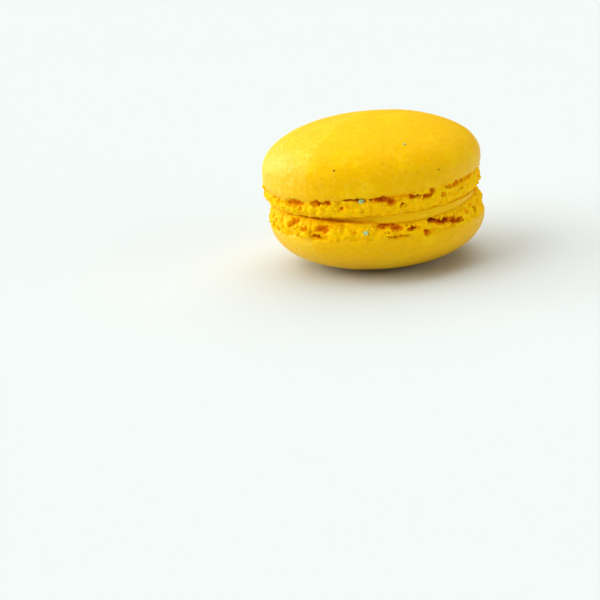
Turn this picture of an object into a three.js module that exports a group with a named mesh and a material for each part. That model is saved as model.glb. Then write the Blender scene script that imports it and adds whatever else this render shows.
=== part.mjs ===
// A french macaron: two almond meringue shells, each a smooth domed cap over a frilly foot, with a
// thin layer of filling between them. Millimetres, +Z up. It rests on a flat spot of its lower cap,
// and its front is the -Y side.
//
// Both shells are shaped outwards from the seam, where the two feet meet. A height is a distance
// from the seam, upwards in the upper shell and downwards in the lower one. A bearing is an angle in
// degrees round the macaron, 0 at the front and 90 at its right side.
import * as THREE from "three";
import { ImprovedNoise } from "three/addons/math/ImprovedNoise.js";
import { mergeVertices } from "three/addons/utils/BufferGeometryUtils.js";

const { degToRad, euclideanModulo, lerp, seededRandom, smoothstep } = THREE.MathUtils;

// Caps: radius of the widest ring, its height, the rise of the dome beyond it, and the exponent of
// the dome's superellipse, where 2 is an ellipse and more is fuller.
const UPPER_RADIUS = 21.5;
const UPPER_WIDEST = 6.7;
const UPPER_RISE = 9.5;
const UPPER_FULLNESS = 2.16;
const LOWER_RADIUS = 21.4;
const LOWER_WIDEST = 2.4;
const LOWER_RISE = 10.6;
const LOWER_FULLNESS = 2.4;
const RESTING_SPOT_RADIUS = 7.5;

// The lip is the cap's edge. The upper one overhangs its foot and climbs towards the right.
const UPPER_LIP_HEIGHT = 4.3;
const UPPER_LIP_CLIMB = 0.9;
const UPPER_OVERHANG = 0.6;
const LOWER_LIP_HEIGHT = 3.5;
const LOWER_OVERHANG = 0.15;
const LIP_THICKNESS = 0.25;

// Feet: the rim is the edge next to the seam. The lower foot's rim dips where the filling shows.
const RIM_RADIUS = 19.4;
const UPPER_RIM_HEIGHT = 0.47;
const LOWER_RIM_HEIGHT = -0.17;
const FRONT_DIP = { bearing: 15, depth: 1.35, spread: 32 };
const BACK_DIP = { bearing: 172, depth: 1.0, spread: 45 };

// The shells sit a little to one side of each other, and their domes lean.
const UPPER_SHIFT = -0.6;
const UPPER_LEAN = 0.055;
const LOWER_LEAN = 0.07;

// Each shell's underside is hollowed to hold the filling.
const HOLLOW_RADIUS = 18.4;
const HOLLOW_SLOPE = 0.5;
const UPPER_HOLLOW_HEIGHT = 0.95;
const LOWER_HOLLOW_HEIGHT = 1.35;
const CLEARANCE = 0.3;

// The filling: a round cushion whose edge squeezes out where the seam is open wide enough.
const FILLING_RADIUS = 17.4;
const FILLING_SHOWN_RADIUS = 19.1;
const FILLING_ROUNDING = 0.4;
const THINNEST_EDGE = 0.15;
const DIP_SHOWN_FROM = 0.45;
const DIP_FULLY_SHOWN = 0.75;

// Unevenness of the baked surfaces. The groove under a lip takes a share of the crumb's relief, and
// the lip a share of the pits.
const CRUMB_RELIEF = 0.52;
const CRUMB_SIZE = 1.7;
const GROOVE_RELIEF = 0.5;
const LIP_RAGGEDNESS = 0.3;
const LIP_PITTED = 0.4;
const DOME_RELIEF = 0.12;
const DOME_WAVE = 9;

// The pits round the back: how many, between which bearings, and the seed that they are drawn from.
const BACK_PITS = 11;
const BACK_FROM = 75;
const BACK_TO = 265;
const RANDOM_SEED = 7;

// Facets: degrees between the rows of a dome, and columns round each piece.
const DOME_STEP = 10;
const SHELL_COLUMNS = 120;
const FILLING_COLUMNS = 96;

const noise = new ImprovedNoise();

// A pit pressed into a foot, or a bulge where the depth is negative: its bearing and height, its
// depth, and how far it spreads, in degrees round the foot and in millimetres up it.
function pit(bearing, height, depth, spread, tallness = 0.55) {
  return { bearing, height, depth, spread, tallness };
}

// Pits round the back, between two heights, drawn at random.
function backPits(lowest, highest) {
  const pits = [];
  for (let i = 0; i < BACK_PITS; i++) {
    const bearing = lerp(BACK_FROM, BACK_TO, (i + seededRandom()) / BACK_PITS);
    const height = lerp(lowest, highest, seededRandom());
    const depth = lerp(0.6, 1.6, seededRandom());
    const spread = lerp(2.5, 6, seededRandom());
    pits.push(pit(bearing, height, depth, spread));
  }
  return pits;
}

seededRandom(RANDOM_SEED);

const UPPER_PITS = [
  pit(-92, 3.2, -0.8, 18, 0.8),
  pit(90, 2.4, -0.7, 25, 1.3),
  pit(-53, 3.3, 1.1, 6),
  pit(-35, 3.6, 1.0, 4),
  pit(-28, 3.8, 0.8, 3),
  pit(-20, 3.0, 0.8, 2.5),
  pit(-13, 4.1, 0.8, 3.5),
  pit(0, 3.8, 1.6, 5),
  pit(19, 3.8, 1.2, 5),
  pit(27, 3.4, 1.6, 3),
  pit(44, 4.1, 1.0, 5),
  pit(60, 4.8, 0.8, 5),
  ...backPits(3.4, 4.2),
];

const LOWER_PITS = [
  pit(88, 0.5, -0.4, 25, 0.7),
  pit(-58, 1.3, 0.9, 4),
  pit(-45, 1.9, 0.8, 3.5),
  pit(-36, 2.9, 1.1, 3),
  pit(-31, 1.5, 1.0, 4),
  pit(1, 1.6, 1.4, 5),
  pit(15, 2.2, 1.0, 3),
  pit(23, 3.3, 0.8, 2.5),
  pit(33, 2.0, 2.1, 8, 0.6),
  pit(52, 1.9, 0.8, 3),
  pit(66, 2.8, 0.8, 3),
  ...backPits(1.8, 3.2),
];

function degreesApart(a, b) {
  return euclideanModulo(a - b + 180, 360) - 180;
}

function bell(distance, spread) {
  return Math.exp(-((distance / spread) ** 2));
}

function dipAt(bearing) {
  return [FRONT_DIP, BACK_DIP].reduce(
    (sum, dip) => sum + dip.depth * bell(degreesApart(bearing, dip.bearing), dip.spread),
    0,
  );
}

const upperRim = () => UPPER_RIM_HEIGHT;
const lowerRim = (bearing) => LOWER_RIM_HEIGHT + dipAt(bearing);
const upperLip = (bearing) => UPPER_LIP_HEIGHT + UPPER_LIP_CLIMB * Math.sin(degToRad(bearing));
const lowerLip = () => LOWER_LIP_HEIGHT;

// Noise on the cylinder of a given radius, so that it closes on itself all the way round.
function waveAt(radius, bearing, height, size) {
  const angle = degToRad(bearing);
  const x = (radius * Math.sin(angle)) / size;
  const y = (radius * Math.cos(angle)) / size;
  return noise.noise(x, y, height / size);
}

function pitDepth(pits, bearing, height) {
  return pits.reduce(
    (sum, p) =>
      sum +
      p.depth *
        bell(degreesApart(bearing, p.bearing), p.spread) *
        bell(height - p.height, p.tallness),
    0,
  );
}

// Rows of the foot: share of the way from rim to lip, radius beyond the rim's, and how much of the
// crumb's relief and of the pits each one takes.
const FOOT_ROWS = [
  { share: 0, out: 0, relief: 0.3, pitted: 0 },
  { share: 0.14, out: 0.75, relief: 0.8, pitted: 1 },
  { share: 0.3, out: 1.25, relief: 1, pitted: 1 },
  { share: 0.46, out: 1.5, relief: 1, pitted: 1 },
  { share: 0.62, out: 1.6, relief: 1, pitted: 1 },
  { share: 0.8, out: 1.6, relief: 1, pitted: 1 },
];

// A cap's outline: a superellipse from its widest ring to the dome's top.
function domeOutline(radius, widest, rise, fullness) {
  return {
    radius,
    widest,
    pointAt: (turn) => ({
      radius: radius * Math.cos(degToRad(turn)) ** (2 / fullness),
      height: widest + rise * Math.sin(degToRad(turn)) ** (2 / fullness),
    }),
    radiusAt: (height) => {
      const share = Math.max(0, (height - widest) / rise);
      return radius * (1 - share ** fullness) ** (1 / fullness);
    },
    heightAt: (r) => widest + rise * (1 - (r / radius) ** fullness) ** (1 / fullness),
  };
}

// Rows of a cap past its lip: one between the lip and the widest ring, where there is room, then
// the dome's, every few degrees, as far as the flat spot.
function capRows(shell) {
  const { dome, spotRadius } = shell;
  const lip = shell.lip(0);
  const rows = [];
  if (dome.widest > lip) rows.push({ radius: dome.radius, height: (lip + dome.widest) / 2 });
  for (let turn = 0; turn < 85; turn += DOME_STEP) {
    const row = dome.pointAt(turn);
    if (row.height > lip + 1 && row.radius > spotRadius + 1) rows.push(row);
  }
  return rows;
}

// A closed solid from rows that run outwards from the seam's side to the dome's top. Each row gives
// a radius and a height for a bearing, and side is 1 for upwards or -1 for downwards.
function solidOfRows(rows, columns, side, shiftAt) {
  const ordered = side > 0 ? rows : [...rows].reverse();
  const blank = ordered.map((row, i) => new THREE.Vector2(1, i));
  const geometry = new THREE.LatheGeometry(blank, columns);
  const places = geometry.getAttribute("position");
  for (let i = 0; i <= columns; i++) {
    const bearing = (360 * (i % columns)) / columns;
    const angle = degToRad(bearing);
    ordered.forEach((row, j) => {
      const { radius, height } = row(bearing);
      const x = radius * Math.sin(angle) + shiftAt(height);
      places.setXYZ(i * ordered.length + j, x, side * height, radius * Math.cos(angle));
    });
  }
  geometry.deleteAttribute("normal");
  geometry.deleteAttribute("uv");
  geometry.rotateX(Math.PI / 2);
  const merged = mergeVertices(geometry, 1e-4);
  merged.computeVertexNormals();
  return merged;
}

function shellGeometry(shell) {
  const { dome, rim, lip, seed } = shell;
  const crumbAt = (bearing, height) =>
    CRUMB_RELIEF * waveAt(RIM_RADIUS, bearing, height + seed, CRUMB_SIZE);
  const lipRadius = dome.radiusAt(lip(0)) - shell.overhang / 2;
  const grooveAt = (bearing) => lip(bearing) - LIP_THICKNESS;

  const rows = [
    () => ({ radius: 0, height: shell.hollowHeight }),
    () => ({ radius: HOLLOW_RADIUS, height: shell.hollowHeight }),
    (bearing) => ({ radius: HOLLOW_RADIUS + HOLLOW_SLOPE, height: rim(bearing) }),
  ];
  for (const { share, out, relief, pitted } of FOOT_ROWS) {
    rows.push((bearing) => {
      const height = lerp(rim(bearing), grooveAt(bearing), share);
      const pressed = pitted * pitDepth(shell.pits, bearing, height);
      return { radius: RIM_RADIUS + out + relief * crumbAt(bearing, height) - pressed, height };
    });
  }
  rows.push((bearing) => {
    const height = grooveAt(bearing);
    const pressed = shell.overhang + pitDepth(shell.pits, bearing, height);
    return { radius: lipRadius + GROOVE_RELIEF * crumbAt(bearing, height) - pressed, height };
  });
  rows.push((bearing) => {
    const height = lip(bearing) + LIP_RAGGEDNESS * waveAt(RIM_RADIUS, bearing, seed, CRUMB_SIZE);
    return { radius: lipRadius - LIP_PITTED * pitDepth(shell.pits, bearing, height), height };
  });
  for (const { radius, height } of capRows(shell)) {
    rows.push((bearing) => {
      const wave = DOME_RELIEF * waveAt(radius, bearing, height + seed, DOME_WAVE);
      return { radius: radius + wave, height };
    });
  }
  if (shell.spotRadius > 0) {
    rows.push(() => ({ radius: shell.spotRadius, height: shell.topHeight }));
  }
  rows.push(() => ({ radius: 0, height: shell.topHeight }));
  return solidOfRows(rows, SHELL_COLUMNS, shell.side, shell.shiftAt);
}

const upperDome = domeOutline(UPPER_RADIUS, UPPER_WIDEST, UPPER_RISE, UPPER_FULLNESS);
const lowerDome = domeOutline(LOWER_RADIUS, LOWER_WIDEST, LOWER_RISE, LOWER_FULLNESS);

const upperShell = {
  side: 1,
  dome: upperDome,
  rim: upperRim,
  lip: upperLip,
  overhang: UPPER_OVERHANG,
  pits: UPPER_PITS,
  hollowHeight: UPPER_HOLLOW_HEIGHT,
  spotRadius: 0,
  topHeight: upperDome.heightAt(0),
  shiftAt: (height) => UPPER_SHIFT + UPPER_LEAN * height,
  seed: 3.3,
};

const lowerShell = {
  side: -1,
  dome: lowerDome,
  rim: lowerRim,
  lip: lowerLip,
  overhang: LOWER_OVERHANG,
  pits: LOWER_PITS,
  hollowHeight: LOWER_HOLLOW_HEIGHT,
  spotRadius: RESTING_SPOT_RADIUS,
  topHeight: lowerDome.heightAt(RESTING_SPOT_RADIUS),
  shiftAt: (height) => LOWER_LEAN * height,
  seed: 41.7,
};

function fillingGeometry() {
  const top = UPPER_HOLLOW_HEIGHT - CLEARANCE;
  const bottom = CLEARANCE - LOWER_HOLLOW_HEIGHT;
  const edgeTop = UPPER_RIM_HEIGHT - CLEARANCE;
  const edgeBottom = (bearing) => Math.min(CLEARANCE - lowerRim(bearing), edgeTop - THINNEST_EDGE);
  const edgeRadius = (bearing) => {
    const shown = smoothstep(dipAt(bearing), DIP_SHOWN_FROM, DIP_FULLY_SHOWN);
    return lerp(FILLING_RADIUS, FILLING_SHOWN_RADIUS, shown);
  };
  const shoulder = (bearing) => Math.min(bottom + FILLING_ROUNDING, edgeBottom(bearing));
  const rows = [
    () => ({ radius: 0, height: bottom }),
    () => ({ radius: FILLING_RADIUS - FILLING_ROUNDING, height: bottom }),
    (bearing) => ({ radius: FILLING_RADIUS, height: shoulder(bearing) }),
    (bearing) => ({ radius: edgeRadius(bearing), height: edgeBottom(bearing) }),
    (bearing) => ({ radius: edgeRadius(bearing), height: edgeTop }),
    () => ({ radius: FILLING_RADIUS - FILLING_ROUNDING, height: top }),
    () => ({ radius: 0, height: top }),
  ];
  return solidOfRows(rows, FILLING_COLUMNS, 1, () => UPPER_SHIFT / 2);
}

function piece(name, geometry, color, roughness) {
  const material = new THREE.MeshStandardMaterial({ color, roughness, metalness: 0 });
  const mesh = new THREE.Mesh(geometry, material);
  mesh.name = name;
  return mesh;
}

const stack = new THREE.Group();
stack.add(piece("top_shell", shellGeometry(upperShell), 0xf6c80a, 0.75));
stack.add(piece("filling", fillingGeometry(), 0xd9aa08, 0.45));
stack.add(piece("bottom_shell", shellGeometry(lowerShell), 0xf2c208, 0.75));

// The origin is the middle of the macaron's outline, on the surface that it rests on.
const extent = new THREE.Box3().setFromObject(stack);
const middle = extent.getCenter(new THREE.Vector3());
stack.position.set(-middle.x, -middle.y, -extent.min.z);

const macaron = new THREE.Group();
macaron.add(stack);

export default macaron;
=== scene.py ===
import math
import random

import bpy
from mathutils import Matrix, Vector


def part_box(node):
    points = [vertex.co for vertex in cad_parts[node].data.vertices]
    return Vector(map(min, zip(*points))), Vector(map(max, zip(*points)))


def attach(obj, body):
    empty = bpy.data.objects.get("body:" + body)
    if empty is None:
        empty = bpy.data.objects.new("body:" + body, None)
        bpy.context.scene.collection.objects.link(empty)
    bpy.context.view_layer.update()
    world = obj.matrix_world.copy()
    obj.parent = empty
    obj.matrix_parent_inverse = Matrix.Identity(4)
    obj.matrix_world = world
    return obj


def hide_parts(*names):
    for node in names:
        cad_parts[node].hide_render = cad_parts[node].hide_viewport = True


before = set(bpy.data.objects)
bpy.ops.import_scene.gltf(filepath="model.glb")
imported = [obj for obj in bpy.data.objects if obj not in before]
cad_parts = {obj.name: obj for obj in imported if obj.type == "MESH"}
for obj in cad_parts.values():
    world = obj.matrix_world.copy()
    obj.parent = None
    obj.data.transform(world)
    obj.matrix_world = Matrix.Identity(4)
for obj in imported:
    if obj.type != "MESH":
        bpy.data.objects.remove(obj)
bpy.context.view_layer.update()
mm = 0.001


# Camera. It looks a little down on the seam, from 28 cm away, and it is rolled, because the macaron
# leans in the picture. The seam's centre keeps its place in the picture.
camera_elevation = math.radians(17)
camera_roll = math.radians(5.1)
camera_distance = 279.5 * mm
camera_lens = 85.0
camera_sensor = 36.0
picture_size = 600
seam_in_picture = (374.2, 195.5)

upper_rim = 0.47 * mm
axis_aside = 0.2 * mm
seam = Vector((axis_aside, 0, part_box("top_shell")[0].z - upper_rim))

level = Vector((1, 0, 0))
backwards = Vector((0, -math.cos(camera_elevation), math.sin(camera_elevation)))
upright = backwards.cross(level)
camera_right = level * math.cos(camera_roll) - upright * math.sin(camera_roll)
camera_up = level * math.sin(camera_roll) + upright * math.cos(camera_roll)
pixel = camera_sensor / camera_lens / picture_size * camera_distance
aside = (seam_in_picture[0] - picture_size / 2) * pixel
above = (picture_size / 2 - seam_in_picture[1]) * pixel
camera_place = seam + backwards * camera_distance - camera_right * aside - camera_up * above
camera_turn = Matrix((camera_right, camera_up, backwards)).transposed().to_4x4()

camera = bpy.data.objects.new("camera", bpy.data.cameras.new("camera"))
camera.data.lens = camera_lens
camera.data.sensor_width = camera_sensor
camera.data.clip_start = 0.01
camera.matrix_world = Matrix.Translation(camera_place) @ camera_turn
bpy.context.collection.objects.link(camera)
bpy.context.scene.camera = camera
bpy.context.scene.view_settings.view_transform = "Standard"


# Top shell: the upper half of the macaron, baked almond meringue, a smooth domed cap over a frilly
# foot. The foot is worked out on a fine grid of cells, because its lumps, bubbles and torn pits
# reach in under each other. The dome and a solid core are joined to it as one closed body.
class Wire:
    """A socket of a node tree. An expression on it adds Math nodes, and node() adds any other."""

    def __init__(self, group, socket=None):
        self.group = group
        self.socket = socket

    def node(self, kind, settings=None, sockets=None, output=0):
        """Adds a node: its settings first, then the values or links of its sockets."""
        made = self.group.nodes.new(kind)
        for key, value in (settings or {}).items():
            if key == "stops":
                ramp = made.color_ramp.elements
                for _ in value[2:]:
                    ramp.new(0.5)
                for element, (place, colour) in zip(ramp, value):
                    element.position = place
                    element.color = (*colour, 1)
            else:
                setattr(made, key, value)
        for key, value in (sockets or {}).items():
            for item in value if isinstance(value, list) else [value]:
                if isinstance(item, Wire):
                    self.group.links.new(item.socket, made.inputs[key])
                else:
                    made.inputs[key].default_value = item
        return Wire(self.group, made.outputs[output] if made.outputs else None)

    def also(self, output):
        """Another output of the same node."""
        return Wire(self.group, self.socket.node.outputs[output])

    def math(self, operation, *values):
        return self.node("ShaderNodeMath", {"operation": operation}, dict(enumerate(values)))

    def vector(self, operation, *values):
        made = self.node("ShaderNodeVectorMath", {"operation": operation}, dict(enumerate(values)))
        return made.also("Value") if operation == "LENGTH" else made

    def scaled(self, factor):
        """A vector times a number."""
        return self.node("ShaderNodeVectorMath", {"operation": "SCALE"}, {0: self, "Scale": factor})

    def __add__(self, other):
        return self.math("ADD", self, other)

    __radd__ = __add__

    def __mul__(self, other):
        return self.math("MULTIPLY", self, other)

    __rmul__ = __mul__

    def __sub__(self, other):
        return self.math("SUBTRACT", self, other)

    def __rsub__(self, other):
        return self.math("SUBTRACT", other, self)

    def __truediv__(self, other):
        return self.math("DIVIDE", self, other)

    def __rtruediv__(self, other):
        return self.math("DIVIDE", other, self)

    def __pow__(self, other):
        return self.math("POWER", self, other)

    def parts(self):
        """The three numbers of a vector."""
        split = self.node("ShaderNodeSeparateXYZ", {}, {0: self})
        return split, split.also(1), split.also(2)

    def joined(self, *values):
        """A vector of three numbers."""
        return self.node("ShaderNodeCombineXYZ", {}, dict(enumerate(values)))

    def clamped(self):
        return self.math("MINIMUM", self.math("MAXIMUM", self, 0.0), 1.0)

    def fade(self, low, high):
        """0 below low and 1 above high, with a soft step between them."""
        sockets = {"Value": self, "From Min": low, "From Max": high}
        return self.node("ShaderNodeMapRange", {"interpolation_type": "SMOOTHSTEP"}, sockets)

    def bell(self, spread):
        """1 at zero, falling away on both sides."""
        ratio = self / spread
        return self.math("EXPONENT", ratio * ratio * -1.0)

    def noise(self, size, detail=2.0, roughness=0.5):
        """Noise at this place, with features of about this size. It runs from -0.5 to 0.5."""
        sockets = {"Vector": self, "Scale": 1 / size, "Detail": detail, "Roughness": roughness}
        return self.node("ShaderNodeTexNoise", {}, sockets) - 0.5

    def jitter(self, size, detail=1.0):
        """A vector of noise at this place, each number from -0.5 to 0.5."""
        sockets = {"Vector": self, "Scale": 1 / size, "Detail": detail}
        colour = self.node("ShaderNodeTexNoise", {}, sockets).also("Color")
        return self.vector("SUBTRACT", colour, (0.5, 0.5, 0.5))

    def cells(self, size):
        """Distance to the nearest of many scattered points, about one for each size of space."""
        return self.node("ShaderNodeTexVoronoi", {}, {"Vector": self, "Scale": 1 / size})


def numbers(labels):
    """Number inputs for a tree, from their names in one line of text."""
    return dict.fromkeys(labels.split(", "), "NodeSocketFloat")


def new_tree(name, inputs):
    """A Geometry Nodes tree with named inputs. Returns a start for it, and the inputs by name."""
    group = bpy.data.node_groups.new(name, "GeometryNodeTree")
    for label, kind in inputs.items():
        group.interface.new_socket(label, in_out="INPUT", socket_type=kind)
    group.interface.new_socket("Geometry", in_out="OUTPUT", socket_type="NodeSocketGeometry")
    entry = group.nodes.new("NodeGroupInput")
    return Wire(group), {label: Wire(group, entry.outputs[label]) for label in inputs}


def end_tree(geometry, material):
    """Closes a tree: real meshes, smooth, with their material."""
    real = geometry.node("GeometryNodeRealizeInstances", {}, {"Geometry": geometry})
    smooth = geometry.node("GeometryNodeSetShadeSmooth", {}, {"Geometry": real})
    sockets = {"Geometry": smooth, "Material": material}
    painted = geometry.node("GeometryNodeSetMaterial", {}, sockets)
    geometry.node("NodeGroupOutput", {}, {"Geometry": painted})


def grown(name, tree, sizes):
    """Runs a tree with these sizes, and returns what it makes as a plain mesh object."""
    piece = bpy.data.objects.new(name, bpy.data.meshes.new(name))
    bpy.context.collection.objects.link(piece)
    modifier = piece.modifiers.new("nodes", "NODES")
    modifier.node_group = tree.group
    for item in tree.group.interface.items_tree:
        if item.in_out == "INPUT" and item.name in sizes:
            modifier[item.identifier] = sizes[item.name]
    finished = piece.evaluated_get(bpy.context.evaluated_depsgraph_get())
    mesh = bpy.data.meshes.new_from_object(finished)
    piece.modifiers.clear()
    piece.data = mesh
    mesh.name = name
    return piece


# Sizes and limits that both shells share.
crumb_cell = 0.18 * mm
front_dip_bearing = math.radians(17)
front_dip_spread = math.radians(38.5)
left_dip_bearing = math.radians(-29)
left_dip_spread = math.radians(18)
left_dip_share = 0.3
back_dip_bearing = math.radians(172)
back_dip_spread = math.radians(45)
tuck_height = 1.6 * mm
lip_rounding = 0.5 * mm
rim_rounding = 0.3 * mm
foot_blend = 0.2 * mm
pit_girth_radius = 21 * mm
bubble_spacing = 1.15 * mm
ring_inside = 17.6 * mm
block_reach = 23.2 * mm
block_near_end = -1.2 * mm
block_far_end = 8.2 * mm
tongue_gap = 0.2 * mm
tongue_slope = 0.8
tongue_height = 1 * mm
bowl_depth = 1 * mm
drum_radius = 18.2 * mm
drum_overlap = 0.4 * mm
smallest_body = 20000.0
smoothed_height = 1 * mm


def bell_round(bearing, centre, spread):
    """A bell round one bearing, an angle round the macaron, 0 at its front and positive rightwards."""
    return bearing.math("WRAP", bearing - centre, math.pi, -math.pi).bell(spread)


def lower_rim(bearing, size):
    """Height of a lower shell's rim below the seam: it dips at the front and at the back."""
    front = bell_round(bearing, front_dip_bearing, front_dip_spread) * size["Front Dip"]
    left = bell_round(bearing, left_dip_bearing, left_dip_spread) * left_dip_share * size["Front Dip"]
    back = bell_round(bearing, back_dip_bearing, back_dip_spread) * size["Back Dip"]
    return size["Rim"] + front + left + back


def cap_wave(place):
    """How far the cap's skin swells in and out: long soft waves, and faint small ones."""
    long_waves = place.noise(9 * mm, 1) * (0.26 * mm)
    small_waves = place.noise(2.2 * mm, 2) * (0.06 * mm) + place.noise(1.0 * mm, 1) * (0.04 * mm)
    return long_waves + small_waves - 0.08 * mm


def shell_tree(name, bulges, pits):
    """The tree of one shell. A height is a distance from the seam, upwards or downwards."""
    labels = (
        "Side, Seam Height, Axis, Lean, Cap Radius, Widest, Rise, Fullness, Lip, Lip Climb, Tuck,"
        " Groove, Rim Radius, Rim, Front Dip, Back Dip, Foot Swell, Hollow, Join, Join Turn, Seed, Cell"
    )
    tree, size = new_tree(name, numbers(labels) | {"Material": "NodeSocketMaterial"})
    place = tree.node("GeometryNodeInputPosition")
    x, y, z = place.parts()
    height = (z - size["Seam Height"]) * size["Side"]
    across = x - size["Axis"] - size["Lean"] * height
    radius = tree.math("SQRT", across * across + y * y)
    bearing = tree.math("ARCTAN2", across, y * -1)
    spot = place.vector("ADD", place, tree.joined(0.0, 0.0, size["Seed"]))

    # Cap: a superellipse past its widest ring, tucked in towards the lip.
    fullness = size["Fullness"]
    climbed = ((height - size["Widest"]) / size["Rise"]).clamped()
    round_cap = size["Cap Radius"] * (1 - climbed ** fullness) ** (1 / fullness)
    left_lift = bell_round(bearing, math.radians(-90), math.radians(20))
    lip = size["Lip"] + size["Lip Climb"] * (tree.math("SINE", bearing) + left_lift)
    tucked = (1 - (height - lip) / tuck_height).clamped()
    cap = round_cap - size["Tuck"] * tucked * tucked + cap_wave(spot)
    ragged_lip = lip + spot.noise(1.7 * mm, 2) * (0.8 * mm)
    cap_depth = tree.math("SMOOTH_MAX", radius - cap, ragged_lip - height, lip_rounding)

    # Foot: it swells outwards from the rim, in lumps, over finer lumps, over grains.
    rim = lower_rim(bearing, size) + spot.noise(1.5 * mm) * (0.35 * mm)
    share = ((height - rim) / (lip - rim)).clamped()
    plain_wall = size["Rim Radius"] + size["Foot Swell"] * (1 - (1 - share) ** 4)
    for bulge_bearing, bulge_height, proud, spread, tallness in bulges:
        swelling = bell_round(bearing, math.radians(bulge_bearing), math.radians(spread))
        swelling = swelling * (height - bulge_height * mm).bell(tallness * mm)
        plain_wall = plain_wall + swelling * (proud * mm)
    lumps = spot.noise(1.9 * mm, 2) * (1.4 * mm)
    knob = spot.cells(1.1 * mm)
    knobs = (0.25 - knob * knob) * (0.85 * mm)
    grains = spot.noise(0.45 * mm, 1) * (0.24 * mm)
    torn = spot.noise(3.2 * mm, 1).fade(-0.06, 0.1)
    groove = torn * size["Groove"] * (height - lip + 0.35 * mm).bell(0.45 * mm)
    past_lip = (height - ragged_lip).fade(-0.1 * mm, 0.4 * mm) * (2 * mm)
    wall_slope = size["Foot Swell"] * 4 * (1 - share) ** 3 / (lip - rim)
    wall_depth = radius - plain_wall + groove + past_lip
    wall_depth = wall_depth / tree.math("SQRT", wall_slope * wall_slope + 1)
    foot_depth = tree.math("SMOOTH_MAX", wall_depth, rim - height, rim_rounding)
    rough = 0.3 + share.fade(0.0, 0.3) * 0.7
    foot_depth = foot_depth - (lumps + knobs + grains) * rough
    body = tree.math("SMOOTH_MIN", cap_depth, foot_depth, foot_blend)

    # Torn pits, given by bearing, height, half their length and height, and depth.
    inset = tree.math("MAXIMUM", plain_wall - radius, 0.0)
    warp = tree.vector("MULTIPLY", spot.jitter(0.9 * mm, 2), (1.7 * mm, 1.5 * mm, 1.5 * mm))
    at = tree.vector("ADD", tree.joined(bearing * pit_girth_radius, height, inset), warp)
    half_girth = math.pi * pit_girth_radius
    for pit_bearing, pit_height, half_length, half_tall, depth in pits:
        centre = (math.radians(pit_bearing) * pit_girth_radius, pit_height * mm, 0)
        apart = tree.vector("SUBTRACT", at, centre)
        apart = tree.vector("WRAP", apart, (half_girth, 1, 1), (-half_girth, -1, -1))
        ratio = tree.vector("DIVIDE", apart, (half_length * mm, half_tall * mm, depth * mm))
        inside = (1 - tree.vector("LENGTH", ratio)) * (half_tall * mm)
        body = tree.math("MAXIMUM", body, inside)

    # Burst bubbles, near the foot's surface alone.
    bubble = spot.cells(bubble_spacing)
    bubble_size = (bubble.also("Color").parts()[0] - 0.25) * (0.6 * mm)
    buried = tree.math("MAXIMUM", plain_wall - radius - 0.3 * mm, 0.0)
    below_lip = (ragged_lip - height).fade(-0.1 * mm, 0.3 * mm)
    hole = bubble_size * below_lip - bubble * bubble_spacing - buried
    body = tree.math("MAXIMUM", body, hole)

    # The foot ends inside the core, and above the join in a tongue inside the dome. Its block of
    # cells reaches a little past it on every side.
    join_radius = size["Cap Radius"] * tree.math("COSINE", size["Join Turn"]) ** (2 / fullness)
    past_join = height - size["Join"] - tongue_gap
    body = tree.math("MAXIMUM", body, ring_inside - radius)
    body = tree.math("MAXIMUM", body, radius - join_radius + past_join * tongue_slope)
    body = tree.math("MAXIMUM", body, past_join - tongue_height)
    near_end = size["Side"] * block_near_end
    far_end = size["Side"] * block_far_end
    lowest = size["Seam Height"] + tree.math("MINIMUM", near_end, far_end)
    highest = size["Seam Height"] + tree.math("MAXIMUM", near_end, far_end)
    sockets = {
        "Density": body * (-1 / mm),
        "Background": -1.0,
        "Min": tree.joined(-block_reach, -block_reach, lowest),
        "Max": tree.joined(block_reach, block_reach, highest),
        "Resolution X": tree.math("ROUND", 2 * block_reach / size["Cell"]),
        "Resolution Y": tree.math("ROUND", 2 * block_reach / size["Cell"]),
        "Resolution Z": tree.math("ROUND", (highest - lowest) / size["Cell"]),
    }
    block = tree.node("GeometryNodeVolumeCube", {}, sockets)
    sockets = {"Volume": block, "Threshold": 0.0, "Adaptivity": 0.0}
    foot = tree.node("GeometryNodeVolumeToMesh", {"resolution_mode": "GRID"}, sockets)

    # Dome: a sphere drawn out to the superellipse, with a shallow bowl under it.
    sockets = {"Segments": 400, "Rings": 100, "Radius": 1.0}
    ball = tree.node("GeometryNodeMeshUVSphere", {}, sockets)
    latitude = tree.math("ARCSINE", tree.math("MINIMUM", tree.math("ABSOLUTE", z), 1.0))
    turn = size["Join Turn"] + latitude * (1 - size["Join Turn"] / (math.pi / 2))
    dome_radius = size["Cap Radius"] * tree.math("COSINE", turn) ** (2 / fullness)
    dome_height = size["Widest"] + size["Rise"] * tree.math("SINE", turn) ** (2 / fullness)
    bowl_radius = join_radius * tree.math("COSINE", latitude)
    bowl_height = size["Join"] - tree.math("SINE", latitude) * bowl_depth
    on_top = tree.math("GREATER_THAN", z, -0.0001)
    out = bowl_radius + on_top * (dome_radius - bowl_radius)
    up = bowl_height + on_top * (dome_height - bowl_height)
    ball_radius = tree.math("MAXIMUM", tree.math("SQRT", x * x + y * y), 1e-6)
    placed = tree.joined(
        x * out / ball_radius + size["Axis"] + size["Lean"] * up,
        y * out / ball_radius,
        size["Seam Height"] + size["Side"] * up,
    )
    dome = tree.node("GeometryNodeSetPosition", {}, {"Geometry": ball, "Position": placed})
    mirrored = tree.math("LESS_THAN", size["Side"], 0.0)
    dome = tree.node("GeometryNodeFlipFaces", {}, {"Mesh": dome, "Selection": mirrored})
    normal = tree.node("GeometryNodeInputNormal")
    sockets = {"Geometry": dome, "Offset": normal.scaled(cap_wave(spot))}
    dome = tree.node("GeometryNodeSetPosition", {}, sockets)
    grounded = tree.joined(x, y, tree.math("MAXIMUM", z, 0.0))
    dome = tree.node("GeometryNodeSetPosition", {}, {"Geometry": dome, "Position": grounded})

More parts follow.
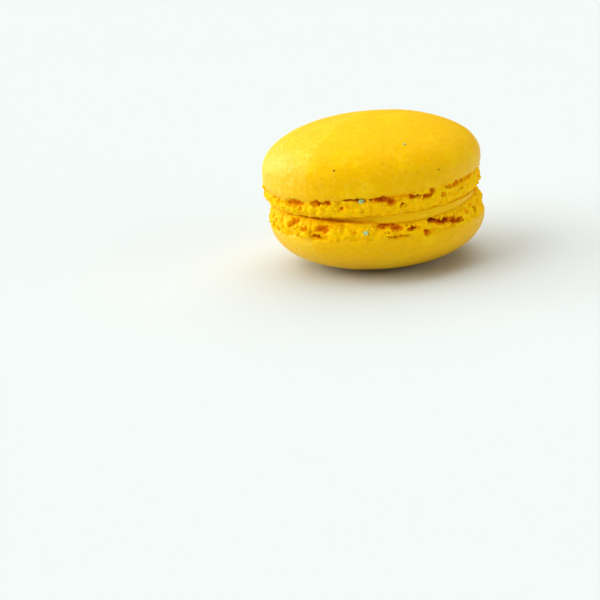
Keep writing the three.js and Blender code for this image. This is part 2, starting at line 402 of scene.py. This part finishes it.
    # Core: a plain drum from the hollow underside to inside the dome.
    drum_length = size["Join"] + drum_overlap - size["Hollow"]
    sockets = {"Vertices": 160, "Radius": drum_radius, "Depth": drum_length}
    drum = tree.node("GeometryNodeMeshCylinder", {}, sockets)
    drum_height = size["Seam Height"] + size["Side"] * (size["Hollow"] + drum_length / 2)
    sockets = {"Geometry": drum, "Translation": tree.joined(size["Axis"], 0.0, drum_height)}
    drum = tree.node("GeometryNodeTransform", {}, sockets)

    # One body, without the loose scraps and sealed bubbles, which have few points.
    settings = {"operation": "UNION", "solver": "MANIFOLD"}
    shell = tree.node("GeometryNodeMeshBoolean", settings, {"Mesh 2": [foot, dome, drum]})
    island = tree.node("GeometryNodeInputMeshIsland")
    settings = {"data_type": "FLOAT", "domain": "POINT"}
    sockets = {"Value": 1.0, "Group ID": island}
    island_size = tree.node("GeometryNodeAccumulateField", settings, sockets).also("Total")
    scrap = tree.math("LESS_THAN", island_size, smallest_body)
    settings = {"domain": "POINT", "mode": "ALL"}
    shell = tree.node("GeometryNodeDeleteGeometry", settings, {"Geometry": shell, "Selection": scrap})

    # The line where dome and foot meet is smoothed away, on the cap's outside.
    near_join = (1 - tree.math("ABSOLUTE", height - size["Join"]) / smoothed_height).clamped()
    near_join = near_join.fade(0.0, 0.6) * radius.fade(19 * mm, 19.8 * mm)
    sockets = {"Value": place, "Iterations": 14}
    blurred = tree.node("GeometryNodeBlurAttribute", {"data_type": "FLOAT_VECTOR"}, sockets)
    to_blurred = tree.vector("SUBTRACT", blurred, place).scaled(near_join)
    shell = tree.node("GeometryNodeSetPosition", {}, {"Geometry": shell, "Offset": to_blurred})

    # What the skin's colour needs: how deep in a pit a place is, which the material uses to paint shade
    # into the pits, and whether it is crumb or cap.
    depth = (plain_wall - radius) / mm
    is_foot = (ragged_lip - height).fade(-0.05 * mm, 0.2 * mm)
    in_pit = depth.fade(0.25, 0.6) * (lip + 1.2 * mm - height).fade(0.0, 0.3 * mm)
    crumb = tree.math("MAXIMUM", is_foot, in_pit)
    for label, value in {"pit depth": depth * crumb, "crumb": crumb}.items():
        settings = {"data_type": "FLOAT", "domain": "POINT"}
        sockets = {"Geometry": shell, "Name": label, "Value": value}
        shell = tree.node("GeometryNodeStoreNamedAttribute", settings, sockets)
    end_tree(shell, size["Material"])
    return tree


def new_material(name):
    """A new material. Returns it, a start for its node tree, and its shader node."""
    material = bpy.data.materials.new(name)
    material.use_nodes = True
    shader = material.node_tree.nodes["Principled BSDF"]
    return material, Wire(material.node_tree), shader


def mixed(factor, first, second):
    """A colour between two colours."""
    sockets = {"Factor": factor, 6: first, 7: second}
    return factor.node("ShaderNodeMix", {"data_type": "RGBA"}, sockets, 2)


def distance_from(place, bearing, height, radius):
    """How far a place is from a spot, whose height from the seam and radius are given in mm."""
    turn = math.radians(bearing)
    spot = Vector((math.sin(turn) * radius, -math.cos(turn) * radius, height)) * mm
    return place.vector("LENGTH", place.vector("SUBTRACT", place, tuple(spot + seam)))


# Each by bearing in degrees, and height from the seam and distance from the axis in mm.
pinholes = [(-23.3, 9.7, 20.65), (31.4, 8.0, 21.35)]
peeled_spot = (4, -5.2, 21.0)


def meringue():
    """Baked almond meringue: a fine matt skin, and a moist yellow crumb, with a painted orange glow and
    painted brown shade deep in its pits.
    """
    material, tree, shader = new_material("baked meringue")
    place = tree.node("ShaderNodeTexCoord").also("Object")
    crumb = tree.node("ShaderNodeAttribute", {"attribute_name": "crumb"}).also("Fac")
    depth = tree.node("ShaderNodeAttribute", {"attribute_name": "pit depth"}).also("Fac")

    # Skin: even yellow with freckles, and a few pin-pricks painted dark brown as painted shade in them.
    # Faint pale blotches all round, and on its left side, toward the window, painted sheen: a paler tint
    # and stronger pale blotches. A spot of peeled skin on the lower cap has a painted highlight line and a
    # painted shadow line at its edge.
    skin_yellow = (0.90, 0.50, 0.0005, 1)
    pale_yellow = (0.94, 0.58, 0.001, 1)
    deep_yellow = (0.74, 0.40, 0.0005, 1)
    crust_and_highlight_yellow = (0.97, 0.66, 0.055, 1)
    pinhole_shade_brown = (0.30, 0.13, 0.004, 1)
    mottle = place.noise(5 * mm, 5, 0.62).fade(0.0, 0.16)
    freckle = place.noise(0.9 * mm, 3, 0.6).fade(0.1, 0.2)
    peel = place.noise(8 * mm, 4, 0.6).fade(0.12, 0.135)
    peel_edge = distance_from(place, *peeled_spot) + place.noise(1.3 * mm, 3, 0.6) * (2.8 * mm)
    peel = tree.math("MAXIMUM", peel, 1 - peel_edge.fade(1.8 * mm, 1.9 * mm))
    # Along the peeled spot's edge, in broken pieces: a painted highlight line just outside it and a painted
    # shadow line just inside.
    peel_shown = place.noise(1.9 * mm, 1).fade(0.0, 0.1)
    peel_highlight = (peel_edge - 1.95 * mm).bell(0.16 * mm) * peel_shown
    peel_shadow = (peel_edge - 1.65 * mm).bell(0.16 * mm) * peel_shown
    # Painted sheen: the side toward the window light, at the left and a little behind, gets a paler tint,
    # stronger pale blotches and a stronger bump.
    toward_window = place.vector("MULTIPLY", place, (-0.835, 0.55, 0.0)).parts()
    from_edge = toward_window[0] + toward_window[1] + place.noise(4 * mm, 4, 0.6) * (4 * mm)
    window_side = from_edge.fade(1.4 * mm, 2.0 * mm)
    behind = place.parts()[1].fade(-4 * mm, 10 * mm)
    blotch_and_sheen = place.noise(1.1 * mm, 4, 0.7).fade(-0.03, 0.13) * (0.3 + window_side * (0.7 - behind * 0.4))
    skin = mixed(mottle * 0.8, skin_yellow, pale_yellow)
    # Painted sheen on the window side, and faint pale blotches all round that grow stronger there as
    # painted sheen.
    skin = mixed(window_side * 0.12, skin, crust_and_highlight_yellow)
    skin = mixed(blotch_and_sheen * 0.65, skin, crust_and_highlight_yellow)
    # Painted highlight line at the peeled spot's edge.
    skin = mixed(peel_highlight * 0.4, skin, crust_and_highlight_yellow)
    # Real freckles, and the painted shadow line at the peeled spot's edge.
    skin = mixed(tree.math("MAXIMUM", freckle, peel_shadow) * 0.6, skin, deep_yellow)
    # The pin-pricks, some scattered and two at given spots, are painted dark brown: painted shade in holes
    # that the mesh doesn't cut. The bump dents them a little.
    prick = place.cells(2.6 * mm)
    chosen = prick.also("Color").parts()[0].fade(0.90, 0.93)
    pricked = (1 - prick.fade(0.03, 0.06)) * chosen
    for pinhole in pinholes:
        near_pin = 1 - distance_from(place, *pinhole).fade(0.16 * mm, 0.3 * mm)
        pricked = tree.math("MAXIMUM", pricked, near_pin)
    skin = mixed(pricked, skin, pinhole_shade_brown)

    # Crumb: brighter on its knobs, with painted shade down in its pits, orange and then brown, by pit
    # depth.
    knob_yellow = (0.98, 0.605, 0.001, 1)
    crumb_yellow = (0.96, 0.535, 0.001, 1)
    painted_pit_glow = (0.80, 0.25, 0.001, 1)
    painted_pit_shade = (0.55, 0.10, 0.001, 1)
    spongy = mixed(place.noise(1.2 * mm, 2).fade(-0.1, 0.12), crumb_yellow, knob_yellow)
    # Painted glow and shade: orange deeper in the pits, brown deepest.
    spongy = mixed(depth.fade(0.4, 1.3), spongy, painted_pit_glow)
    spongy = mixed(depth.fade(1.2, 2.6), spongy, painted_pit_shade)
    colour = mixed(crumb, skin, spongy)
    tree.group.links.new(colour.socket, shader.inputs["Base Color"])

    grain = place.noise(0.35 * mm, 3, 0.6) * 0.8 + place.noise(1.1 * mm, 3, 0.6) * 1.5
    grain = grain * (1 + window_side * 0.5)
    grain = grain * (1 - crumb * 0.5) + peel * 0.8 - pricked * 0.6
    sockets = {"Height": grain, "Strength": 0.6, "Distance": 0.14 * mm}
    bump = tree.node("ShaderNodeBump", {}, sockets)
    tree.group.links.new(bump.socket, shader.inputs["Normal"])
    roughness = crumb * 0.35 + 0.45
    tree.group.links.new(roughness.socket, shader.inputs["Roughness"])
    shader.inputs["Specular IOR Level"].default_value = 0.16
    shader.inputs["Specular Tint"].default_value = (1.0, 0.66, 0.15, 1)
    shader.inputs["Subsurface Weight"].default_value = 0.25
    shader.inputs["Subsurface Radius"].default_value = (1.0, 0.45, 0.05)
    shader.inputs["Subsurface Scale"].default_value = 0.8 * mm
    return material


baked_meringue = meringue()

# Bulges by bearing, height, how far they stand out, spread and tallness, and pits by bearing, height,
# half their length, half their height and depth. Bearings and spreads are in degrees, the rest in mm.
upper_bulges = [(-92, 3.6, 0.45, 20, 0.9), (90, 2.4, 0.5, 25, 1.3)]
upper_pits = [
    (-61, 3.3, 0.9, 0.6, 1.0),
    (-48, 3.2, 2.6, 0.85, 1.3),
    (-44, 2.2, 0.6, 0.5, 1.0),
    (-33.5, 3.5, 1.6, 0.7, 1.4),
    (-27, 3.6, 1.1, 0.6, 1.3),
    (-19.6, 2.5, 0.55, 0.5, 1.0),
    (-13, 4.15, 2.1, 0.35, 1.6),
    (1, 3.95, 2.1, 0.6, 2.0),
    (6, 3.2, 0.9, 0.75, 1.7),
    (12.5, 2.6, 0.6, 0.35, 1.2),
    (18.5, 3.7, 1.3, 0.4, 1.5),
    (26, 3.3, 1.3, 0.55, 1.9),
    (29, 4.2, 0.7, 0.6, 1.5),
    (36, 2.9, 0.6, 0.5, 1.1),
    (40, 4.2, 1.2, 0.3, 1.0),
    (46, 4.3, 1.2, 0.5, 1.4),
    (52, 4.5, 1.2, 0.4, 1.2),
    (59, 4.8, 1.4, 0.4, 1.0),
    (68, 4.8, 1.1, 0.35, 0.9),
]
draw = random.Random(7)


def back_pits(lowest, highest):
    """Pits round the back, drawn at random between two heights."""
    count = 14
    first, last = 75, 290
    pits = []
    for i in range(count):
        bearing = first + (last - first) * (i + draw.random()) / count
        height = draw.uniform(lowest, highest)
        size = (draw.uniform(0.5, 2.3), draw.uniform(0.25, 0.65), draw.uniform(0.9, 2.1))
        pits.append((bearing, height, *size))
    return pits


upper_shell = shell_tree("upper shell", upper_bulges, upper_pits + back_pits(3.0, 4.3))
upper_sizes = {
    "Side": 1.0,
    "Seam Height": seam.z,
    "Axis": seam.x - 0.6 * mm,
    "Lean": 0.055,
    "Cap Radius": 21.5 * mm,
    "Widest": 6.7 * mm,
    "Rise": 9.5 * mm,
    "Fullness": 2.16,
    "Lip": 4.3 * mm,
    "Lip Climb": 0.9 * mm,
    "Tuck": 0.4 * mm,
    "Groove": 0.6 * mm,
    "Rim Radius": 19.4 * mm,
    "Rim": upper_rim,
    "Front Dip": 0.0,
    "Back Dip": 0.0,
    "Foot Swell": 1.6 * mm,
    "Hollow": 0.95 * mm,
    "Join": 6.7 * mm,
    "Join Turn": 0.0,
    "Seed": 0.0,
    "Cell": crumb_cell,
    "Material": baked_meringue,
}
upper_meringue = grown("upper_meringue", upper_shell, upper_sizes)
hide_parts("top_shell")
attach(upper_meringue, "root")


# Bottom shell: the other half, of the same meringue, turned over. Its foot is wider and blends into
# its cap, its rim dips where the filling shows, and its dome is flat where it rested on the tray.
lower_bulges = [(88, 2.4, -0.55, 30, 1.6), (84, 0.0, 0.45, 25, 0.6), (-88, 0.8, -0.45, 22, 1.7)]
lower_pits = [
    (-55, 1.6, 0.9, 0.6, 1.0),
    (-52, 0.8, 1.2, 0.8, 1.2),
    (-44.6, 1.9, 1.0, 0.5, 1.1),
    (-37, 2.9, 1.2, 0.65, 1.8),
    (-33, 1.6, 1.9, 0.7, 1.5),
    (-22, 0.9, 1.1, 0.35, 1.0),
    (-15, 2.2, 0.6, 0.45, 0.9),
    (1, 1.3, 2.2, 0.4, 1.8),
    (6.5, 1.8, 1.2, 0.75, 1.8),
    (6.5, 3.2, 2.4, 0.25, 1.0),
    (15, 2.2, 1.5, 0.45, 1.6),
    (22.5, 3.3, 0.8, 0.7, 1.5),
    (28, 1.6, 1.4, 0.5, 2.6),
    (35, 2.1, 2.6, 0.55, 2.6),
    (43, 2.6, 1.7, 0.5, 2.2),
    (52, 1.8, 0.8, 0.7, 1.2),
    (61, 2.0, 0.7, 0.9, 2.0),
    (77, 2.9, 0.7, 0.55, 1.8),
]
lower_shell = shell_tree("lower shell", lower_bulges, lower_pits + back_pits(1.4, 3.2))
lower_widest = 2.4 * mm
lower_rise = 10.6 * mm
lower_fullness = 2.4
lower_join = 5.0 * mm
lower_sizes = {
    "Side": -1.0,
    "Seam Height": seam.z,
    "Axis": seam.x,
    "Lean": 0.07,
    "Cap Radius": 21.4 * mm,
    "Widest": lower_widest,
    "Rise": lower_rise,
    "Fullness": lower_fullness,
    "Lip": 3.5 * mm,
    "Lip Climb": 0.0,
    "Tuck": 0.1 * mm,
    "Groove": 0.5 * mm,
    "Rim Radius": 19.4 * mm,
    "Rim": -0.4 * mm,
    "Front Dip": 1.5 * mm,
    "Back Dip": 1.1 * mm,
    "Foot Swell": 1.85 * mm,
    "Hollow": 1.35 * mm,
    "Join": lower_join,
    "Join Turn": math.asin(((lower_join - lower_widest) / lower_rise) ** (lower_fullness / 2)),
    "Seed": 60 * mm,
    "Cell": crumb_cell,
    "Material": baked_meringue,
}
lower_meringue = grown("lower_meringue", lower_shell, lower_sizes)
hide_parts("bottom_shell")
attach(lower_meringue, "root")


# Filling: a thin smooth buttercream, spread between the shells. Its edge shows as a band where the
# lower rim dips, squeezed out a little at the right, and lies back in the shells elsewhere.
recess_bearing = math.radians(-27)
recess_spread = math.radians(24)
squeeze_bearing = math.radians(62)
squeeze_spread = math.radians(28)
squeezed_out = 0.35 * mm
reach_into_shell = 0.4 * mm
thinnest = 0.1 * mm
edge_radius = 20 * mm


def filling_tree():
    """A ball drawn out to a flat cushion that follows the gap between the two rims."""
    labels = (
        "Seam Height, Axis, Upper Rim, Rim, Front Dip, Back Dip, Inner Radius, Hidden Radius,"
        " Shown Radius, Inner Top, Inner Bottom, Squareness"
    )
    tree, size = new_tree("filling", numbers(labels) | {"Material": "NodeSocketMaterial"})
    ball = tree.node("GeometryNodeMeshUVSphere", {}, {"Segments": 360, "Rings": 48, "Radius": 1.0})
    x, y, z = tree.node("GeometryNodeInputPosition").parts()
    bearing = tree.math("ARCTAN2", x, y * -1)
    ball_radius = tree.math("MAXIMUM", tree.math("SQRT", x * x + y * y), 1e-6)
    ring = tree.joined(x / ball_radius * edge_radius, y / ball_radius * edge_radius, z * (2 * mm))
    root = 2 / size["Squareness"]
    latitude = tree.math("ARCSINE", tree.math("MINIMUM", tree.math("ABSOLUTE", z), 1.0))

    open_at = lower_rim(bearing, size) + size["Upper Rim"]
    recessed = bell_round(bearing, recess_bearing, recess_spread)
    shown = open_at.fade(0.05 * mm, 0.3 * mm) * (1 - recessed)
    spread = size["Hidden Radius"] + shown * (size["Shown Radius"] - size["Hidden Radius"])
    squeezed = bell_round(bearing, squeeze_bearing, squeeze_spread) * squeezed_out
    edge = spread + shown * (ring.noise(4 * mm, 2) * (0.5 * mm) + squeezed)
    out = edge * tree.math("COSINE", latitude) ** root

    rim_top = size["Upper Rim"] + reach_into_shell
    rim_bottom = lower_rim(bearing, size) + reach_into_shell
    rim_bottom = tree.math("MAXIMUM", rim_bottom, thinnest - size["Upper Rim"])
    outer = out.fade(size["Inner Radius"], size["Inner Radius"] + 1.2 * mm)
    top = size["Inner Top"] + outer * (rim_top - size["Inner Top"])
    bottom = size["Inner Bottom"] + outer * (rim_bottom - size["Inner Bottom"])
    lift = tree.math("SINE", latitude) ** root * tree.math("SIGN", z)
    up = (top - bottom) * 0.5 + lift * (top + bottom) * 0.5
    placed = tree.joined(
        x * out / ball_radius + size["Axis"],
        y * out / ball_radius,
        size["Seam Height"] + up,
    )
    cushion = tree.node("GeometryNodeSetPosition", {}, {"Geometry": ball, "Position": placed})
    end_tree(cushion, size["Material"])
    return tree


def buttercream():
    """Smooth yellow buttercream with a soft shine, paler where it was smeared."""
    material, tree, shader = new_material("buttercream")
    place = tree.node("ShaderNodeTexCoord").also("Object")
    stretched = tree.vector("MULTIPLY", place, (1.0, 1.0, 5.0))
    smear = stretched.noise(4 * mm, 2, 0.5).fade(0.06, 0.2)
    cream_yellow = (0.92, 0.545, 0.0003, 1)
    smeared_yellow = (0.95, 0.62, 0.012, 1)
    colour = mixed(smear, cream_yellow, smeared_yellow)
    tree.group.links.new(colour.socket, shader.inputs["Base Color"])
    ripple = stretched.noise(0.8 * mm, 2)
    sockets = {"Height": ripple, "Strength": 0.2, "Distance": 0.05 * mm}
    bump = tree.node("ShaderNodeBump", {}, sockets)
    tree.group.links.new(bump.socket, shader.inputs["Normal"])
    shader.inputs["Roughness"].default_value = 0.4
    shader.inputs["Specular IOR Level"].default_value = 0.3
    shader.inputs["Specular Tint"].default_value = (1.0, 0.7, 0.2, 1)
    shader.inputs["Subsurface Weight"].default_value = 0.2
    shader.inputs["Subsurface Radius"].default_value = (1.0, 0.55, 0.1)
    shader.inputs["Subsurface Scale"].default_value = 0.8 * mm
    return material


filling_sizes = {
    "Seam Height": seam.z,
    "Axis": seam.x - 0.3 * mm,
    "Upper Rim": upper_rim,
    "Rim": lower_sizes["Rim"],
    "Front Dip": lower_sizes["Front Dip"],
    "Back Dip": lower_sizes["Back Dip"],
    "Inner Radius": 17.0 * mm,
    "Hidden Radius": 17.8 * mm,
    "Shown Radius": 19.75 * mm,
    "Inner Top": 0.65 * mm,
    "Inner Bottom": 1.05 * mm,
    "Squareness": 9.0,
    "Material": buttercream(),
}
cream = grown("buttercream", filling_tree(), filling_sizes)
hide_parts("filling")
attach(cream, "root")


# Loose crumbs: grains of meringue that broke off the feet and cling to them, scattered on their
# outer faces, each a small rough lump with its own turn and size.
def crumbled(tree, grains, size):
    """Gives plain balls a rough skin, with lumps of about this size."""
    grains = tree.node("GeometryNodeRealizeInstances", {}, {"Geometry": grains})
    lump = tree.node("GeometryNodeInputPosition").noise(size, 2) * size
    offset = tree.node("GeometryNodeInputNormal").scaled(lump)
    return tree.node("GeometryNodeSetPosition", {}, {"Geometry": grains, "Offset": offset})


surely_crumb = 0.95
deepest_open = 0.45


def loose_crumb_tree():
    """Grains scattered where the shells are crumb and lie open, not down in their pits."""
    inputs = {"Upper Shell": "NodeSocketObject", "Lower Shell": "NodeSocketObject", "Seed": "NodeSocketInt"}
    inputs |= numbers("For Each Square Metre, Radius, Reach") | {"Material": "NodeSocketMaterial"}
    tree, size = new_tree("loose crumbs", inputs)
    shells = [
        tree.node("GeometryNodeObjectInfo", {}, {"Object": size[label]}).also("Geometry")
        for label in ("Upper Shell", "Lower Shell")
    ]
    shells = tree.node("GeometryNodeJoinGeometry", {}, {"Geometry": shells})
    crumb = tree.node("GeometryNodeInputNamedAttribute", {"data_type": "FLOAT"}, {"Name": "crumb"})
    depth = tree.node("GeometryNodeInputNamedAttribute", {"data_type": "FLOAT"}, {"Name": "pit depth"})
    is_crumb = tree.math("GREATER_THAN", crumb, surely_crumb)
    is_open = tree.math("LESS_THAN", tree.math("ABSOLUTE", depth), deepest_open)
    x, y, _ = tree.node("GeometryNodeInputPosition").parts()
    in_reach = tree.math("LESS_THAN", tree.math("SQRT", x * x + y * y), size["Reach"])
    chosen = is_crumb * is_open * in_reach
    density = size["For Each Square Metre"]
    sockets = {"Mesh": shells, "Selection": chosen, "Density": density, "Seed": size["Seed"]}
    points = tree.node("GeometryNodeDistributePointsOnFaces", {}, sockets)
    ball = tree.node("GeometryNodeMeshIcoSphere", {}, {"Radius": size["Radius"], "Subdivisions": 2})
    settings = {"data_type": "FLOAT_VECTOR"}
    sockets = {0: (0, 0, 0), 1: (6.28, 6.28, 6.28), "Seed": 1}
    turn = tree.node("FunctionNodeRandomValue", settings, sockets)
    sockets = {0: (0.4, 0.4, 0.4), 1: (1, 1, 1), "Seed": 2}
    stretch = tree.node("FunctionNodeRandomValue", settings, sockets)
    sockets = {"Points": points, "Instance": ball, "Rotation": turn, "Scale": stretch}
    grains = tree.node("GeometryNodeInstanceOnPoints", {}, sockets)
    end_tree(crumbled(tree, grains, 0.25 * mm), size["Material"])
    return tree


def crumb_material(name, pale, deep):
    """Dry crumb of one colour, paler on its points."""
    material, tree, shader = new_material(name)
    place = tree.node("ShaderNodeTexCoord").also("Object")
    colour = mixed(place.noise(0.5 * mm, 2).fade(-0.1, 0.15), deep, pale)
    tree.group.links.new(colour.socket, shader.inputs["Base Color"])
    sockets = {"Height": place.noise(0.15 * mm, 2), "Strength": 0.5, "Distance": 0.05 * mm}
    bump = tree.node("ShaderNodeBump", {}, sockets)
    tree.group.links.new(bump.socket, shader.inputs["Normal"])
    shader.inputs["Roughness"].default_value = 0.6
    shader.inputs["Specular IOR Level"].default_value = 0.15
    shader.inputs["Subsurface Weight"].default_value = 0.2
    shader.inputs["Subsurface Scale"].default_value = 0.4 * mm
    return material


loose_sizes = {
    "Upper Shell": upper_meringue,
    "Lower Shell": lower_meringue,
    "Seed": 3,
    "For Each Square Metre": 0.3e6,
    "Radius": 0.32 * mm,
    "Reach": 21.0 * mm,
    "Material": crumb_material("yellow crumb", (0.97, 0.64, 0.02, 1), (0.94, 0.54, 0.002, 1)),
}
loose_crumbs = grown("loose_crumbs", loose_crumb_tree(), loose_sizes)
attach(loose_crumbs, "root")


# Stray crumbs: two turquoise grains of dry meringue, stuck to the front of the feet, and a speck of
# the same on the cap. Each one sits on the skin where a level line towards the axis meets it.
line_start = 40 * mm
standing_out = 0.35
grain_form = (1.05, 0.85, 0.95)


def stray_crumb_tree(crumbs):
    """Grains given by bearing, height from the seam and radius, each set on the shells."""
    inputs = {"Upper Shell": "NodeSocketObject", "Lower Shell": "NodeSocketObject"}
    inputs |= {"Seam Height": "NodeSocketFloat", "Material": "NodeSocketMaterial"}
    tree, size = new_tree("stray crumbs", inputs)
    grains = []
    for crumb_bearing, crumb_height, crumb_radius, shell in crumbs:
        target = tree.node("GeometryNodeObjectInfo", {}, {"Object": size[shell]}).also("Geometry")
        turn = math.radians(crumb_bearing)
        inwards = Vector((-math.sin(turn), math.cos(turn), 0))
        start = inwards * -line_start
        source = tree.joined(start.x, start.y, size["Seam Height"] + crumb_height * mm)
        sockets = {"Target Geometry": target, "Source Position": source, "Ray Direction": tuple(inwards)}
        met = tree.node("GeometryNodeRaycast", {}, sockets).also("Hit Position")
        resting = tree.vector("ADD", met, tuple(inwards * (-standing_out * crumb_radius * mm)))
        sockets = {"Radius": crumb_radius * mm, "Subdivisions": 5}
        ball = tree.node("GeometryNodeMeshIcoSphere", {}, sockets)
        here = tree.node("GeometryNodeInputPosition")
        sockets = {"Geometry": ball, "Position": here.vector("MULTIPLY", here, grain_form)}
        grain = tree.node("GeometryNodeSetPosition", {}, sockets)
        grains.append(tree.node("GeometryNodeSetPosition", {}, {"Geometry": grain, "Offset": resting}))
    grains = tree.node("GeometryNodeJoinGeometry", {}, {"Geometry": grains})
    end_tree(crumbled(tree, grains, 0.7 * mm), size["Material"])
    return tree


stray_crumbs = [
    (-9.7, 3.76, 0.44, "Upper Shell"),
    (-8.5, -2.05, 0.43, "Lower Shell"),
    (18.7, 12.84, 0.15, "Upper Shell"),
]
stray_sizes = {
    "Upper Shell": upper_meringue,
    "Lower Shell": lower_meringue,
    "Seam Height": seam.z,
    "Material": crumb_material("turquoise crumb", (0.60, 0.78, 0.40, 1), (0.27, 0.50, 0.24, 1)),
}
strays = grown("stray_crumbs", stray_crumb_tree(stray_crumbs), stray_sizes)
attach(strays, "root")


# Table and light. A pale seamless table, a wide window at the left that rakes over the caps, and
# soft light from the room all round.
table_material, _, shader = new_material("pale table")
shader.inputs["Base Color"].default_value = (0.64, 0.675, 0.66, 1)
shader.inputs["Roughness"].default_value = 0.9
shader.inputs["Specular IOR Level"].default_value = 0.0
table_mesh = bpy.data.meshes.new("table")
table_edge = 3.0
corners = [(-table_edge, -table_edge, 0), (table_edge, -table_edge, 0)]
corners += [(table_edge, table_edge, 0), (-table_edge, table_edge, 0)]
table_mesh.from_pydata(corners, [], [(0, 1, 2, 3)])
table = bpy.data.objects.new("table", table_mesh)
table_mesh.materials.append(table_material)
bpy.context.collection.objects.link(table)


def far_light(name, towards, width, strength, mirrored=False):
    """A far soft light that shines evenly over the table, or that shows only as a reflection."""
    light = bpy.data.lights.new(name, "SUN")
    light.angle = math.radians(width)
    light.energy = strength
    lamp = bpy.data.objects.new(name, light)
    lamp.rotation_euler = (-Vector(towards)).to_track_quat("-Z", "Y").to_euler()
    lamp.visible_glossy = mirrored
    lamp.visible_diffuse = not mirrored
    bpy.context.collection.objects.link(lamp)


far_light("window", (-1.5, -0.5, 1.3), 50, 1.75)
far_light("window_behind", (-1.0, 0.5, 0.28), 35, 1.35)
far_light("glare", (-0.9, 0.7, 0.42), 34, 2.5, True)
far_light("ceiling", (0.0, 0.5, 1.0), 80, 2.3)
far_light("room", (1.3, -1.0, 0.08), 60, 1.3)

room = bpy.data.worlds.new("room")
bpy.context.scene.world = room
room.use_nodes = True
tree = Wire(room.node_tree)
pale_wall = (0.91, 0.965, 0.945, 1)
daylight = (0.95, 0.98, 1.0, 1)
backdrop = tree.node("ShaderNodeBackground", {}, {"Color": pale_wall, "Strength": 1.0})
glow = tree.node("ShaderNodeBackground", {}, {"Color": daylight, "Strength": 0.26})
dim = tree.node("ShaderNodeBackground", {}, {"Color": daylight, "Strength": 0.08})
path = tree.node("ShaderNodeLightPath")
surface = tree.node("ShaderNodeMixShader", {}, {0: path.also("Is Glossy Ray"), 1: glow, 2: dim})
surface = tree.node("ShaderNodeMixShader", {}, {0: path.also("Is Camera Ray"), 1: surface, 2: backdrop})
room.node_tree.links.new(surface.socket, room.node_tree.nodes["World Output"].inputs["Surface"])
